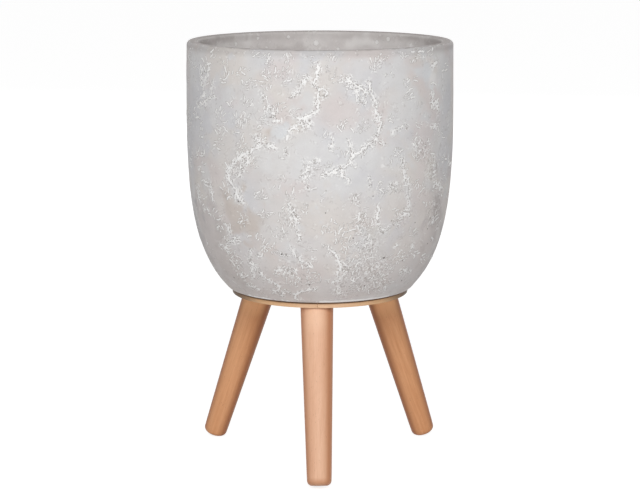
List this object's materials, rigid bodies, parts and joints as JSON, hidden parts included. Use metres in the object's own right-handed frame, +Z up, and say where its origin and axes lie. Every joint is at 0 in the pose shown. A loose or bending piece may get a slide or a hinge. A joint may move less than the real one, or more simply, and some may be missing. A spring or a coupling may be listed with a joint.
{
  "type": "planter on a three-legged stand",
  "caption": "Deep egg-shaped cement pot with a drain plug, resting on a round wooden plate with splayed, tapered turned legs.",
  "frame": {"origin": "on the pot's axis, on the floor that the three feet stand on", "axes": "+Z up along the pot's axis; -Y is the front, where one leg points at the viewer; +X is the viewer's right"},
  "size_m": [0.3129, 0.318, 0.496],
  "materials": {
    "cement": "matte cast cement with fibre, mottled grey and beige, with fine white crackle veins",
    "plug_rubber": "matte black moulded rubber",
    "plate_wood": "plywood faced with beech, clear satin lacquer",
    "band_wood": "beech edging strip, grain along the strip, clear satin lacquer",
    "leg_wood": "turned beech, clear satin lacquer",
    "insert_brass": "machined brass with a fine thread",
    "screw_steel": "zinc-plated steel",
    "dowel_wood": "plain beech dowel",
    "pad_rubber": "matte thin black anti-slip rubber"
  },
  "bodies": {
    "stand": {"plate": "plate_wood", "edge_band": "band_wood", "leg_front": "leg_wood", "leg_right": "leg_wood", "leg_left": "leg_wood", "insert_front": "insert_brass", "insert_right": "insert_brass", "insert_left": "insert_brass", "screw_front": "screw_steel", "screw_right": "screw_steel", "screw_left": "screw_steel", "dowel_front": "dowel_wood", "dowel_right": "dowel_wood", "dowel_left": "dowel_wood", "pad_right": "pad_rubber", "pad_back": "pad_rubber", "pad_left": "pad_rubber"},
    "planter": {"pot": "cement"},
    "plug": {"drain_plug": "plug_rubber"}
  },
  "joints": [
    {"name": "planter_lift", "type": "slide", "parent": "stand", "child": "planter", "axis": [0, 0, 1], "range_m": [0, 0.25]},
    {"name": "plug_pull", "type": "slide", "parent": "planter", "child": "plug", "axis": [0, 0, 1], "range_m": [0, 0.32]}
  ]
}
